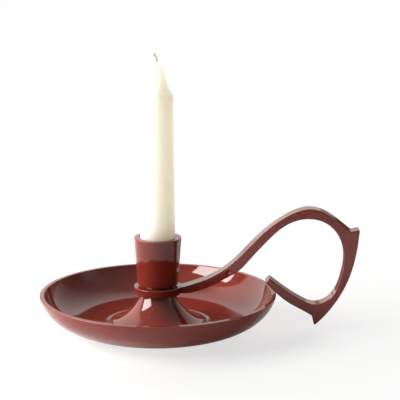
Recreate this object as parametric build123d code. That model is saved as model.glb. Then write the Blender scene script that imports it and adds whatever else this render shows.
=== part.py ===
from build123d import *
import math
import os

# Chamberstick with finger loop, in millimetres. The origin is the centre of the base on the
# table, +Z is up, and the handle reaches out along +X in the plane Y = 0.

# Clearances, overruns and matching
fit_clearance = 0.15      # radial play between fixed pieces that locate each other
thread_clearance = 0.05   # radial play between the screw and its tapped hole
cut_overrun = 1.0         # how far a cutter passes a face
match_slack = 0.05        # how near an edge must lie to the place it is looked for at

# Saucer
saucer_radius = 75.0
saucer_height = 23.15     # from the table to the rim
rim_width = 3.0
rim_edge_radius = 0.35
base_ring_radius = 40.85  # outer edge of the ring that frames the felt
base_ring_width = 4.1
floor_thickness = 2.7     # above the felt's recess
outer_start_angle = 8.4   # degrees from level, at the base ring
outer_end_angle = 75.1    # degrees from level, at the rim
outer_start_share = 0.286
outer_end_share = 0.426
inner_start_angle = 0.0
inner_end_angle = 70.2
inner_start_share = 0.521
inner_end_share = 0.374

# Felt disc in the saucer's underside
felt_thickness = 1.6
felt_proud = 0.4          # what stands below the saucer's base ring

# Raised seat on the saucer's floor, under the foot
seat_margin = 3.0         # what shows round the foot
seat_rise = 0.45
seat_edge_share = 0.55    # its rounded edge, as a share of its rise

# Boss in the middle of the saucer, hollow below for the screw's head
pocket_clearance = 1.5    # round the flat washer
boss_wall = 2.5
boss_roof = 3.0
boss_edge_radius = 0.6

# Foot, a hollow trumpet
foot_height = 19.25       # from the seat to the ring
foot_base_radius = 28.9
foot_base_wall = 2.7
foot_edge_height = 0.9
foot_edge_radius = 0.3
foot_neck_wall = 3.35     # round the socket's spigot
foot_web = 2.6            # solid metal between the spigot's seat and the hollow
foot_base_angle = 9.9     # degrees from level
foot_neck_angle = 7.9     # degrees from upright
flank_base_share = 0.318
flank_neck_share = 0.2692
hollow_inset = 1.2        # the hollow's roof, narrower than the neck
hollow_base_share = 0.356
hollow_roof_share = 0.2848

# Handle: ring round the socket's spigot, arm and open finger loop, one casting
ring_wall = 7.55          # round the spigot
ring_draft = 0.36         # what the ring's underside is narrower by
ring_thickness = 4.1
ring_edge_radius = 0.45
ring_under_edge_radius = 0.9
root_overlap = 3.2        # how far the arm's root runs into the ring
root_inset = 0.3          # how far inside the ring's top and bottom faces the root ends
handle_width = 10.2       # across the arm and the loop, along Y
handle_edge_radius = 0.45
loop_overhang = 51.9      # from the saucer's rim out to the thumb point
loop_rise = 55.35         # from the saucer's rim up to the top of the loop
rim_gap = 0.6             # between the bar and the saucer's rim
rim_gap_angle = 48.0      # degrees from level, square to the bar there
tip_excess = 0.35         # the corners' rounding, beyond the handle's edge radius
notch_radius = 1.3
dimple_radius = 1.55
dimple_depth = 1.0

# Outline of the arm: shares of the saucer's radius along X, and of the climb from the ring's
# top to the loop's top along Z
arm_top_shares = [(0.305, 0.044), (0.437, 0.118), (0.596, 0.271), (0.756, 0.503), (0.887, 0.699)]
arm_under_shares = [
    (0.902, 0.565), (0.778, 0.363), (0.684, 0.215), (0.570, 0.111), (0.462, 0.023),
    (0.350, -0.043), (0.254, -0.078),
]
dimple_place_share = (0.591, 0.195)

# Outline of the loop: shares of the overhang along X, from the rim out. Along Z they count from
# 0 at the table to 1 at the rim's height, and on to 2 at the top of the loop
loop_top_shares = [(0.042, 1.871), (0.247, 1.973), (0.406, 2.000), (0.562, 1.963), (0.768, 1.835)]
top_notch_share = (0.892, 1.739)
thumb_point_share = (1.000, 1.758)
loop_back_shares = [
    (0.978, 1.570), (0.924, 1.318), (0.836, 1.094), (0.724, 0.787), (0.579, 0.373),
]
lower_point_share = (0.463, 0.119)
lower_notch_share = (0.433, 0.407)
bar_under_shares = [(0.328, 0.543), (0.210, 0.688), (0.105, 0.838)]
bar_end_low_share = (-0.139, 1.141)
bar_end_high_share = (-0.086, 1.192)
loop_inside_shares = [
    (0.105, 1.058), (0.315, 0.838), (0.462, 0.726), (0.599, 0.810), (0.721, 1.048),
    (0.790, 1.237), (0.817, 1.428), (0.785, 1.599), (0.689, 1.759), (0.540, 1.857),
    (0.377, 1.884), (0.186, 1.848), (0.005, 1.740),
]

# Candle and wick
candle_radius = 11.0
candle_length = 136.2     # from its foot to the base of the wick
candle_foot_bevel = 0.8
candle_taper = 0.91       # what the shoulder's radius has lost
shoulder_drop = 20.9      # from the wick's base down to the shoulder
tip_radius = 4.06
tip_drop = 3.3            # from the wick's base down to the tip's edge
flank_sag = 0.55          # hollow of the flank between shoulder and tip
dome_radius_share = 0.6   # a place on the tip's dome, half way round
dome_drop_share = 0.3
wick_radius = 0.65
wick_clearance = 0.05
wick_stand = 1.2          # straight length above the wax
wick_rise = 4.2           # height of the bent length
wick_lean = 1.9           # how far the end leans towards -X

# Candle socket, a turned cup on a short neck and a spigot
bore_clearance = 0.35     # radial, round the candle
bore_depth = 25.6
socket_rim_wall = 3.55    # round the bore, at the rim
socket_base_wall = 1.55   # round the bore, at the cup's underside
cup_floor = 4.0           # from the cup's underside to the bore's floor
neck_ledge = 3.4          # the cup's underside, beyond the neck
neck_height = 1.9
spigot_shoulder = 2.0     # the neck's underside, beyond the spigot
spigot_length = 8.9       # below the neck, through the ring into the foot
spigot_end_gap = 1.0
tap_roof = 4.4            # solid metal between the tapped hole and the bore
socket_edge_radius = 0.35
socket_under_edge_radius = 0.6

# Clamping screw and its washers
screw_radius = 2.5
screw_end_gap = 1.0       # unused depth of the tapped hole
screw_hole_clearance = 0.3
head_radius = 4.25
head_height = 3.3
head_edge_radius = 0.5
head_room = 0.7           # between the head and the felt
slot_width = 1.2
slot_depth = 1.6
flat_washer_radius = 5.0
flat_washer_thickness = 1.0
spring_washer_radius = 4.6
spring_washer_thickness = 1.2
spring_washer_gap = 1.0
washer_hole_clearance = 0.2

# Radii worked out from the sizes above
socket_bore_radius = candle_radius + bore_clearance
socket_top_radius = socket_bore_radius + socket_rim_wall
socket_bottom_radius = socket_bore_radius + socket_base_wall
neck_radius = socket_bottom_radius - neck_ledge
spigot_radius = neck_radius - spigot_shoulder
spigot_hole_radius = spigot_radius + fit_clearance
ring_radius = spigot_hole_radius + ring_wall
ring_under_radius = ring_radius - ring_draft
foot_neck_radius = spigot_hole_radius + foot_neck_wall
seat_radius = foot_base_radius + seat_margin
recess_radius = base_ring_radius - base_ring_width
felt_radius = recess_radius - fit_clearance
screw_hole_radius = screw_radius + screw_hole_clearance
pocket_radius = flat_washer_radius + pocket_clearance
boss_radius = pocket_radius + boss_wall

# Heights above the table, from the saucer up
base_height = felt_proud
recess_roof = felt_thickness
floor_height = recess_roof + floor_thickness
seat_height = floor_height + seat_rise
head_low = recess_roof + head_room
head_high = head_low + head_height
spring_washer_high = head_high + spring_washer_thickness
pocket_roof = spring_washer_high + flat_washer_thickness
boss_top = pocket_roof + boss_roof
ring_bottom = seat_height + foot_height
ring_top = ring_bottom + ring_thickness
socket_bottom = ring_top + neck_height
socket_floor = socket_bottom + cup_floor
socket_top = socket_floor + bore_depth
spigot_end = ring_top - spigot_length
spigot_seat = spigot_end - spigot_end_gap
hollow_roof = spigot_seat - foot_web
tap_end = socket_floor - tap_roof
screw_tip = tap_end - screw_end_gap
candle_top = socket_floor + candle_length
loop_top = saucer_height + loop_rise


def at(radius, height):
    """A place in the plane Y = 0."""
    return Vector(radius, 0, height)


def along(angle, length):
    """A step of that length in the plane Y = 0, the angle in degrees from level."""
    turn = math.radians(angle)
    return Vector(length * math.cos(turn), 0, length * math.sin(turn))


def path(*points):
    """Straight edges through the places."""
    return [Line(a, b) for a, b in zip(points, points[1:])]


def wall_curve(start, end, start_angle, end_angle, start_share, end_share):
    """A wall's line that leaves and arrives at the angles, its handles shares of its span."""
    span = (end - start).length
    return Bezier(
        start,
        start + along(start_angle, start_share * span),
        end - along(end_angle, end_share * span),
        end,
    )


def sweep_round(edges):
    """Turns a closed outline in the plane Y = 0 about the Z axis."""
    return revolve(make_face(edges), axis=Axis.Z)


def circles_at(solid, height, radius):
    """The round edges of that radius at that height."""
    found = solid.edges().filter_by(GeomType.CIRCLE)
    found = [e for e in found if abs(e.arc_center.Z - height) < match_slack]
    return [e for e in found if abs(e.radius - radius) < match_slack]


def make_saucer():
    rim_inner_radius = saucer_radius - rim_width
    outer = wall_curve(
        at(base_ring_radius, base_height), at(saucer_radius, saucer_height),
        outer_start_angle, outer_end_angle, outer_start_share, outer_end_share,
    )
    inner = wall_curve(
        at(seat_radius, floor_height), at(rim_inner_radius, saucer_height),
        inner_start_angle, inner_end_angle, inner_start_share, inner_end_share,
    )
    rim = path(at(rim_inner_radius, saucer_height), at(saucer_radius, saucer_height))
    middle = path(
        at(seat_radius, floor_height),
        at(seat_radius, seat_height),
        at(boss_radius, seat_height),
        at(boss_radius, boss_top),
        at(screw_hole_radius, boss_top),
        at(screw_hole_radius, pocket_roof),
        at(pocket_radius, pocket_roof),
        at(pocket_radius, recess_roof),
        at(recess_radius, recess_roof),
        at(recess_radius, base_height),
        at(base_ring_radius, base_height),
    )
    saucer = sweep_round([outer, inner] + rim + middle)
    for radius in (saucer_radius, rim_inner_radius):
        saucer = fillet(circles_at(saucer, saucer_height, radius), rim_edge_radius)
    seat_edge_radius = seat_edge_share * seat_rise
    saucer = fillet(circles_at(saucer, seat_height, seat_radius), seat_edge_radius)
    return fillet(circles_at(saucer, boss_top, boss_radius), boss_edge_radius)


def make_foot():
    edge_top = seat_height + foot_edge_height
    edge = at(foot_base_radius, edge_top)
    neck = at(foot_neck_radius, ring_bottom)
    hollow_low = at(foot_base_radius - foot_base_wall, seat_height)
    hollow_high = at(foot_neck_radius - hollow_inset, hollow_roof)
    base_angle = 180 - foot_base_angle
    neck_angle = 90 + foot_neck_angle
    flank = wall_curve(edge, neck, base_angle, neck_angle, flank_base_share, flank_neck_share)
    hollow = wall_curve(
        hollow_low, hollow_high, base_angle, neck_angle, hollow_base_share, hollow_roof_share
    )
    base = path(edge, at(foot_base_radius, seat_height), hollow_low)
    seat = path(
        hollow_high,
        at(screw_hole_radius, hollow_roof),
        at(screw_hole_radius, spigot_seat),
        at(spigot_hole_radius, spigot_seat),
        at(spigot_hole_radius, ring_bottom),
        neck,
    )
    foot = sweep_round([flank, hollow] + base + seat)
    return fillet(circles_at(foot, edge_top, foot_base_radius), foot_edge_radius)


def arm_place(share):
    """A place on the arm from its two shares."""
    return at(share[0] * saucer_radius, ring_top + share[1] * (loop_top - ring_top))


def loop_place(share):
    """A place on the loop from its two shares."""
    below = min(share[1], 1) * saucer_height
    above = max(share[1] - 1, 0) * loop_rise
    return at(saucer_radius + share[0] * loop_overhang, below + above)


def loop_outline():
    """The arm and loop seen from the front, as one closed outline."""
    level = Vector(1, 0, 0)
    root_reach = ring_radius - root_overlap
    root_high = at(root_reach, ring_top - root_inset)
    root_low = at(root_reach, ring_bottom + root_inset)
    top_notch = loop_place(top_notch_share)
    thumb_point = loop_place(thumb_point_share)
    lower_point = loop_place(lower_point_share)
    lower_notch = loop_place(lower_notch_share)
    bar_over_rim = at(saucer_radius, saucer_height) + along(rim_gap_angle, rim_gap)
    bar_end_low = loop_place(bar_end_low_share)
    bar_end_high = loop_place(bar_end_high_share)
    arm_top = [arm_place(share) for share in arm_top_shares]
    loop_over = [loop_place(share) for share in loop_top_shares]
    loop_back = [loop_place(share) for share in loop_back_shares]
    bar_under = [loop_place(share) for share in bar_under_shares]
    inside = [loop_place(share) for share in loop_inside_shares]
    arm_under = [arm_place(share) for share in arm_under_shares]
    notch_turn = top_notch - loop_over[-1]
    bar_turn = inside[0] - bar_end_high
    return [
        Spline(root_high, *arm_top, *loop_over, top_notch, tangents=[level, notch_turn]),
        Line(top_notch, thumb_point),
        Spline(thumb_point, *loop_back, lower_point),
        Line(lower_point, lower_notch),
        Spline(lower_notch, *bar_under, bar_over_rim, bar_end_low),
        Line(bar_end_low, bar_end_high),
        Spline(bar_end_high, *inside, *arm_under, root_low, tangents=[bar_turn, -level]),
        Line(root_low, root_high),
    ]


def corner_edges(solid, share):
    """The edges along Y that pass through a corner of the loop's outline."""
    corner = loop_place(share)
    found = solid.edges().filter_by(Axis.Y)
    return [e for e in found if (at(e.center().X, e.center().Z) - corner).length < match_slack]


def make_handle():
    half_width = handle_width / 2
    band = extrude(make_face(loop_outline()), amount=half_width, dir=Vector(0, 1, 0), both=True)
    for share in (thumb_point_share, lower_point_share, bar_end_low_share, bar_end_high_share):
        band = fillet(corner_edges(band, share), handle_edge_radius + tip_excess)
    for share in (top_notch_share, lower_notch_share):
        band = fillet(corner_edges(band, share), notch_radius)
    side_edges = band.faces().filter_by(Axis.Y).edges()
    band = fillet([e for e in side_edges if e.center().X > ring_radius], handle_edge_radius)

    ring = sweep_round(path(
        at(0, ring_bottom),
        at(ring_under_radius, ring_bottom),
        at(ring_radius, ring_top),
        at(0, ring_top),
        at(0, ring_bottom),
    ))
    ring = fillet(circles_at(ring, ring_top, ring_radius), ring_edge_radius)
    ring = fillet(circles_at(ring, ring_bottom, ring_under_radius), ring_under_edge_radius)

    hole = Cylinder(spigot_hole_radius, ring_thickness + 2 * cut_overrun)
    handle = band + ring - Pos(0, 0, (ring_bottom + ring_top) / 2) * hole
    ball_radius = (dimple_radius**2 + dimple_depth**2) / (2 * dimple_depth)
    ball_reach = half_width + ball_radius - dimple_depth
    dimple_place = arm_place(dimple_place_share)
    for side in (-1, 1):
        ball_place = Pos(dimple_place.X, side * ball_reach, dimple_place.Z)
        handle -= ball_place * Sphere(ball_radius)
    return handle


def make_socket():
    tap_radius = screw_radius + thread_clearance
    socket = sweep_round(path(
        at(0, tap_end),
        at(tap_radius, tap_end),
        at(tap_radius, spigot_end),
        at(spigot_radius, spigot_end),
        at(spigot_radius, ring_top),
        at(neck_radius, ring_top),
        at(neck_radius, socket_bottom),
        at(socket_bottom_radius, socket_bottom),
        at(socket_top_radius, socket_top),
        at(socket_bore_radius, socket_top),
        at(socket_bore_radius, socket_floor),
        at(0, socket_floor),
        at(0, tap_end),
    ))
    for radius in (socket_top_radius, socket_bore_radius):
        socket = fillet(circles_at(socket, socket_top, radius), socket_edge_radius)
    under = circles_at(socket, socket_bottom, socket_bottom_radius)
    return fillet(under, socket_under_edge_radius)


def make_screw():
    screw = sweep_round(path(
        at(0, head_low),
        at(head_radius, head_low),
        at(head_radius, head_high),
        at(screw_radius, head_high),
        at(screw_radius, screw_tip),
        at(0, screw_tip),
        at(0, head_low),
    ))
    screw = fillet(circles_at(screw, head_low, head_radius), head_edge_radius)
    slot = Box(2 * (head_radius + cut_overrun), slot_width, 2 * slot_depth)
    return screw - Pos(0, 0, head_low) * slot


def washer(outer_radius, thickness, low):
    """A flat ring round the screw, standing on a height."""
    hole = screw_radius + washer_hole_clearance
    return sweep_round(path(
        at(hole, low),
        at(outer_radius, low),
        at(outer_radius, low + thickness),
        at(hole, low + thickness),
        at(hole, low),
    ))


def make_spring_washer():
    split_length = spring_washer_radius + cut_overrun
    split_height = spring_washer_thickness + 2 * cut_overrun
    split = Box(split_length, spring_washer_gap, split_height)
    middle = head_high + spring_washer_thickness / 2
    whole = washer(spring_washer_radius, spring_washer_thickness, head_high)
    return whole - Pos(split_length / 2, 0, middle) * split


def make_felt():
    return Pos(0, 0, felt_thickness / 2) * Cylinder(felt_radius, felt_thickness)


def make_candle():
    hole = wick_radius + wick_clearance
    shoulder = at(candle_radius - candle_taper, candle_top - shoulder_drop)
    tip_edge = at(tip_radius, candle_top - tip_drop)
    flank_turn = (tip_edge - shoulder).normalized()
    flank_inward = Vector(-flank_turn.Z, 0, flank_turn.X)
    flank_middle = (shoulder + tip_edge) * 0.5 + flank_inward * flank_sag
    dome_middle = at(tip_radius * dome_radius_share, candle_top - tip_drop * dome_drop_share)
    sides = path(
        at(hole, candle_top),
        at(hole, socket_floor),
        at(candle_radius - candle_foot_bevel, socket_floor),
        at(candle_radius, socket_floor + candle_foot_bevel),
        at(candle_radius, socket_top),
        shoulder,
    )
    flank = ThreePointArc(shoulder, flank_middle, tip_edge)
    dome = ThreePointArc(tip_edge, dome_middle, at(hole, candle_top))
    return sweep_round(sides + [flank, dome])


def make_wick():
    """Straight through the wax, then leaning over."""
    bend = at(0, candle_top + wick_stand)
    end = at(-wick_lean, candle_top + wick_stand + wick_rise)
    straight = Line(at(0, socket_floor), bend)
    line = Wire([straight, TangentArc(bend, end, tangent=Vector(0, 0, 1))])
    start = Plane(origin=line @ 0, z_dir=line % 0)
    return sweep(start * Circle(wick_radius), path=line)


parts = {
    "saucer": make_saucer(),
    "foot": make_foot(),
    "handle": make_handle(),
    "candle_socket": make_socket(),
    "clamp_screw": make_screw(),
    "flat_washer": washer(flat_washer_radius, flat_washer_thickness, spring_washer_high),
    "spring_washer": make_spring_washer(),
    "felt_disc": make_felt(),
    "candle": make_candle(),
    "wick": make_wick(),
}

os.makedirs("parts", exist_ok=True)
for name, solid in parts.items():
    export_step(solid, os.path.join("parts", name + ".step"))
    print(name, round(solid.volume, 1), "cubic mm")
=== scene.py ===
import math

import bpy
import numpy as np
from mathutils import Matrix, Vector


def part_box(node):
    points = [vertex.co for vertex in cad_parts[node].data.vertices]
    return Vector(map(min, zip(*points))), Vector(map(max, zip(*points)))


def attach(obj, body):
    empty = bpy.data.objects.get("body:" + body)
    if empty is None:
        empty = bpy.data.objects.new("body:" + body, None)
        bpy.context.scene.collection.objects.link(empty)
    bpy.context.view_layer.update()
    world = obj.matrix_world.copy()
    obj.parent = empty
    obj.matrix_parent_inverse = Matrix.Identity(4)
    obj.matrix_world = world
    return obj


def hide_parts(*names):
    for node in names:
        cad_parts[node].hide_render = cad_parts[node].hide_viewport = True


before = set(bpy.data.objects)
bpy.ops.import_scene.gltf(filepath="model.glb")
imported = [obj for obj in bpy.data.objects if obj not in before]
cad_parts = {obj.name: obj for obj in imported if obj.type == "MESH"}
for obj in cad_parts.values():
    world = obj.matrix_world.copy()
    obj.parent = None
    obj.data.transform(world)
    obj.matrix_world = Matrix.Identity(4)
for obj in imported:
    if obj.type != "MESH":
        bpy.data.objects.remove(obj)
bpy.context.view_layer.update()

mm = 0.001
print("frame loaded, nodes:", sorted(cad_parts))


# The photograph's camera
cameraView = {
    "focalPixels": 1630,   # of a picture 400 pixels wide
    "pictureWidth": 400,
    "sensor": 36,
    "place": (26.65 * mm, -997.05 * mm, 304.71 * mm),
    "pitchDown": 12.514,   # degrees below level
}


def makeCamera(view):
    data = bpy.data.cameras.new("photoCamera")
    data.sensor_fit = "HORIZONTAL"
    data.sensor_width = view["sensor"]
    data.lens = view["sensor"] * view["focalPixels"] / view["pictureWidth"]
    camera = bpy.data.objects.new("photoCamera", data)
    camera.location = view["place"]
    camera.rotation_euler = (math.radians(90 - view["pitchDown"]), 0, 0)
    bpy.context.scene.collection.objects.link(camera)
    bpy.context.scene.camera = camera


makeCamera(cameraView)
bpy.context.scene.view_settings.view_transform = "Standard"
print("camera ready")


# Lines in a plane. A line is an array of points, two numbers each: radius and height for a
# turned piece, or reach and height for the handle.

# Vectors over their lengths.
def unit(vectors):
    return (vectors.T / np.hypot(*vectors.T)).T


def straightLine(start, end):
    return np.array([start, end], float)


# From each point to the next.
def straightLines(corners):
    return [straightLine(a, b) for a, b in zip(corners, corners[1:])]


# A cubic Bezier: leaves and arrives at the angles, its handles shares of its span.
def bezierLine(start, end, startAngle, endAngle, startShare, endShare, count=40):
    start, end = np.array(start, float), np.array(end, float)
    span = np.hypot(*(end - start))
    startTurn, endTurn = (np.array([np.cos(a), np.sin(a)]) for a in np.radians([startAngle, endAngle]))
    t = np.linspace(0, 1, count)[:, None]
    controls = start, start + startTurn * startShare * span, end - endTurn * endShare * span, end
    weights = (1 - t) ** 3, 3 * (1 - t) ** 2 * t, 3 * (1 - t) * t ** 2, t ** 3
    return sum(w * c for w, c in zip(weights, controls))


# A cubic spline over chord lengths, its slopes from one linear system. An end has the slope
# it is given, or no curvature.
def splineLine(places, startTurn=None, endTurn=None, spacing=0.7 * mm):
    places = np.array(places, float)
    spans = np.hypot(*np.diff(places, axis=0).T)
    knots = np.concatenate([[0], np.cumsum(spans)])
    count = len(places)
    inner = np.arange(1, count - 1)
    rises = np.diff(places, axis=0) / spans[:, None]
    system = np.zeros((count, count))
    right = np.zeros((count, 2))
    system[inner, inner - 1] = spans[inner]
    system[inner, inner] = 2 * (spans[inner - 1] + spans[inner])
    system[inner, inner + 1] = spans[inner - 1]
    right[inner] = 3 * (spans[inner, None] * rises[inner - 1] + spans[inner - 1, None] * rises[inner])
    for row, beside, turn, rise in ((0, 1, startTurn, rises[0]), (-1, -2, endTurn, rises[-1])):
        if turn is None:
            system[row, row], system[row, beside], right[row] = 2, 1, 3 * rise
        else:
            system[row, row], right[row] = 1, unit(np.array(turn))
    slopes = np.linalg.solve(system, right)
    along = np.linspace(0, knots[-1], int(knots[-1] / spacing) + 2)
    k = np.clip(np.searchsorted(knots, along, side="right") - 1, 0, count - 2)
    h = spans[k][:, None]
    t = (along - knots[k])[:, None] / h
    hermite = (2 * t**3 - 3 * t**2 + 1) * places[k] + (3 * t**2 - 2 * t**3) * places[k + 1]
    return hermite + h * ((t**3 - 2 * t**2 + t) * slopes[k] + (t**3 - t**2) * slopes[k + 1])


# Strings lines together and rounds each joint with an arc that touches both sides. Returns
# the points and how far each lies round an arc: 0 on the lines, 1 half way round.
def joinLines(lines, roundings, closed=True, steps=7, margin=0.04 * mm):
    lines = [np.array(line) for line in lines]
    arcs = [None] * len(lines)
    for k, rounding in enumerate(roundings):
        after = (k + 1) % len(lines)
        if rounding == 0 or (after == 0 and not closed):
            continue
        corner = lines[k][-1]
        back, ahead = unit(lines[k][-2] - corner), unit(lines[after][1] - corner)
        half = math.acos(np.clip(back @ ahead, -1, 1)) / 2
        reach = rounding / math.tan(half)
        middle = corner + unit(back + ahead) * rounding / math.sin(half)
        first, last = corner + back * reach - middle, corner + ahead * reach - middle
        turn = math.atan2(first[0] * last[1] - first[1] * last[0], first @ last)
        angles = np.linspace(0, turn, steps)[:, None]
        sideways = np.array([-first[1], first[0]])
        arcs[k] = middle + np.cos(angles) * first + np.sin(angles) * sideways
        free = np.hypot(*(lines[k] - corner).T) > reach + 2 * margin
        lines[k] = np.vstack([lines[k][free], corner + back * (reach + margin)])
        free = np.hypot(*(lines[after] - corner).T) > reach + 2 * margin
        lines[after] = np.vstack([corner + ahead * (reach + margin), lines[after][free]])
    points, shares = [], []
    for line, arc in zip(lines, arcs):
        points.append(line if arc is not None else line[:-1])
        shares.append(np.zeros(len(points[-1])))
        if arc is not None:
            points.append(arc)
            shares.append(np.sin(np.linspace(0, np.pi, len(arc))))
    if not closed:
        points.append(lines[-1][-1:])
        shares.append(np.zeros(1))
    return np.vstack(points), np.concatenate(shares)


# Meshes from arrays

# A smooth mesh and its object. Edges that turn by more than the angle stay sharp.
def newMesh(name, points, faces, edgeShares=None, sharpAngle=40):
    mesh = bpy.data.meshes.new(name)
    mesh.from_pydata(points.tolist(), [], faces)
    if edgeShares is not None:
        mesh.attributes.new("edgeShare", "FLOAT", "POINT").data.foreach_set("value", edgeShares)
    mesh.shade_smooth()
    mesh.set_sharp_from_angle(angle=math.radians(sharpAngle))
    mesh.update()
    piece = bpy.data.objects.new(name, mesh)
    bpy.context.scene.collection.objects.link(piece)
    return piece


# Quads between neighbours of a grid of points, which may close on itself either way.
def gridFaces(rows, columns, closeRows, closeColumns):
    i, j = np.meshgrid(
        np.arange(rows if closeRows else rows - 1),
        np.arange(columns if closeColumns else columns - 1), indexing="ij",
    )
    down, right = (i + 1) % rows, (j + 1) % columns
    quads = [i * columns + j, i * columns + right, down * columns + right, down * columns + j]
    return np.stack([q.ravel() for q in quads], axis=1)


# A tube of rings, closed at both ends.
def tubeFaces(rings, sides):
    last = (rings - 1) * sides
    ends = [list(range(sides - 1, -1, -1)), list(range(last, last + sides))]
    return gridFaces(rings, sides, False, True).tolist() + ends


# The vectors of some mesh data, as an array with three columns.
def readVectors(data, name):
    values = np.zeros(len(data) * 3)
    data.foreach_get(name, values)
    return values.reshape(-1, 3)


# A closed outline of radii and heights turned about Z: x = r cos a, y = r sin a, z = h. An
# outline that starts and ends on the axis gets a pole there.
def turnedPiece(name, outline, edgeShares, turns=192, onAxis=1e-7):
    after = np.roll(outline, -1, axis=0)
    area = np.sum(outline[:, 0] * after[:, 1] - after[:, 0] * outline[:, 1])
    if area < 0:
        outline, edgeShares = outline[::-1], edgeShares[::-1]
    poles = outline[0, 0] < onAxis and outline[-1, 0] < onAxis
    ring = outline[1:-1] if poles else outline
    shares = edgeShares[1:-1] if poles else edgeShares
    angle = np.linspace(0, 2 * np.pi, turns, endpoint=False)
    grid = np.stack([
        ring[:, :1] * np.cos(angle), ring[:, :1] * np.sin(angle), np.repeat(ring[:, 1:], turns, 1)
    ], axis=-1).reshape(-1, 3)
    shares = np.repeat(shares, turns)
    faces = gridFaces(len(ring), turns, not poles, True).tolist()
    if poles:
        j = np.arange(turns)
        beside, last = (j + 1) % turns, (len(ring) - 1) * turns
        first, end = len(grid), len(grid) + 1
        grid = np.vstack([grid, [0, 0, outline[0, 1]], [0, 0, outline[-1, 1]]])
        shares = np.concatenate([shares, [0, 0]])
        faces += np.stack([np.full(turns, first), beside, j], axis=1).tolist()
        faces += np.stack([np.full(turns, end), last + j, last + beside], axis=1).tolist()
    return newMesh(name, grid, faces, shares)


# Sizes shared by the metal pieces, in metres
shared = {
    "floor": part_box("foot")[0].z,          # top of the raised seat
    "ringLow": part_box("foot")[1].z,
    "ringHigh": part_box("foot")[1].z + 4.1 * mm,
    "spigotHole": 7.65 * mm,
    "screwHole": 2.8 * mm,
}


# Saucer
saucerDish = {
    "radius": 75.0 * mm,
    "rimTop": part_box("saucer")[1].z,
    "rimWidth": 3.0 * mm,
    "rimRounding": 0.35 * mm,
    "rimFall": 0.11 * mm,          # the rim's top leans outwards by this much
    "baseLow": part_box("saucer")[0].z,
    "baseRadius": 40.85 * mm,
    "recessRadius": 36.75 * mm,
    "recessTop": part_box("felt_disc")[1].z,
    "dishFloor": 4.3 * mm,
    "seatRadius": 31.3 * mm,
    "seatRounding": 0.7 * mm,
    "bossRadius": 9.0 * mm,
    "bossTop": 11.1 * mm,
    "pocketRadius": 6.5 * mm,
    "pocketTop": 8.1 * mm,
    "outerAngles": (8.4, 75.1),    # degrees from level, at the base and at the rim
    "outerShares": (0.286, 0.426),
    "innerAngles": (0.0, 70.2),
    "innerShares": (0.521, 0.374),
}


# The section turned about Z: outer and inner wall are Beziers, the middle is stepped.
def makeSaucer(s):
    rimInner = (s["radius"] - s["rimWidth"], s["rimTop"])
    rimOuter = (s["radius"], s["rimTop"] - s["rimFall"])
    corners = [
        (s["seatRadius"], s["dishFloor"]), (s["seatRadius"], shared["floor"]),
        (s["bossRadius"], shared["floor"]), (s["bossRadius"], s["bossTop"]),
        (shared["screwHole"], s["bossTop"]), (shared["screwHole"], s["pocketTop"]),
        (s["pocketRadius"], s["pocketTop"]), (s["pocketRadius"], s["recessTop"]),
        (s["recessRadius"], s["recessTop"]), (s["recessRadius"], s["baseLow"]),
        (s["baseRadius"], s["baseLow"]),
    ]
    outer = bezierLine(corners[-1], rimOuter, *s["outerAngles"], *s["outerShares"])
    inner = bezierLine(corners[0], rimInner, *s["innerAngles"], *s["innerShares"])[::-1]
    middle = straightLines(corners)
    rim, seat, base = s["rimRounding"], s["seatRounding"], s["rimRounding"]
    roundings = [rim, rim, 0, seat, 0, base, 0, 0, 0, 0, 0, base, base]
    outline, edges = joinLines([outer, straightLine(rimOuter, rimInner), inner] + middle, roundings)
    return turnedPiece("saucerDish", outline, edges, turns=256)


saucer = makeSaucer(saucerDish)
print("saucer", len(saucer.data.polygons), "faces")


# Foot, a hollow trumpet
trumpetFoot = {
    "radius": 28.9 * mm,
    "edgeHeight": 0.9 * mm,
    "edgeRounding": 0.3 * mm,
    "neckRadius": 11.0 * mm,
    "hollowRadius": 26.2 * mm,
    "hollowTopRadius": 9.8 * mm,
    "spigotSeat": 18.2 * mm,
    "hollowTop": 15.6 * mm,
    "angles": (180 - 9.9, 90 + 7.9),   # degrees from level, at the edge and at the neck
    "flankShares": (0.318, 0.2692),
    "hollowShares": (0.356, 0.2848),
}


# The section turned about Z: flank and hollow are Beziers that rise from flat to steep.
def makeFoot(f):
    edge = (f["radius"], shared["floor"] + f["edgeHeight"])
    neck = (f["neckRadius"], shared["ringLow"])
    hollowLow = (f["hollowRadius"], shared["floor"])
    hollowHigh = (f["hollowTopRadius"], f["hollowTop"])
    flank = bezierLine(edge, neck, *f["angles"], *f["flankShares"])
    hollow = bezierLine(hollowLow, hollowHigh, *f["angles"], *f["hollowShares"])
    corners = [
        neck, (shared["spigotHole"], shared["ringLow"]), (shared["spigotHole"], f["spigotSeat"]),
        (shared["screwHole"], f["spigotSeat"]), (shared["screwHole"], f["hollowTop"]), hollowHigh,
    ]
    middle = straightLines(corners)
    base = straightLines([hollowLow, (f["radius"], shared["floor"]), edge])
    roundings = [0] * (1 + len(middle) + 2) + [f["edgeRounding"]]
    outline, edges = joinLines([flank] + middle + [hollow[::-1]] + base, roundings)
    return turnedPiece("trumpetFoot", outline, edges)


foot = makeFoot(trumpetFoot)
print("foot", len(foot.data.polygons), "faces")


# Candle socket, a turned cup on a short neck and a spigot
turnedSocket = {
    "rimTop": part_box("candle_socket")[1].z,
    "spigotLow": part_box("candle_socket")[0].z,
    "topRadius": 14.9 * mm,
    "bottomRadius": 12.85 * mm,
    "neckRadius": 9.5 * mm,
    "neckHeight": 1.3 * mm,
    "spigotRadius": 7.5 * mm,
    "boreRadius": 11.35 * mm,
    "boreFloor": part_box("candle")[0].z,
    "tapRadius": 2.55 * mm,
    "tapTop": 29.6 * mm,
    "rimRounding": 0.35 * mm,
    "underRounding": 0.6 * mm,
    "wallPoints": 12,
}


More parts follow.
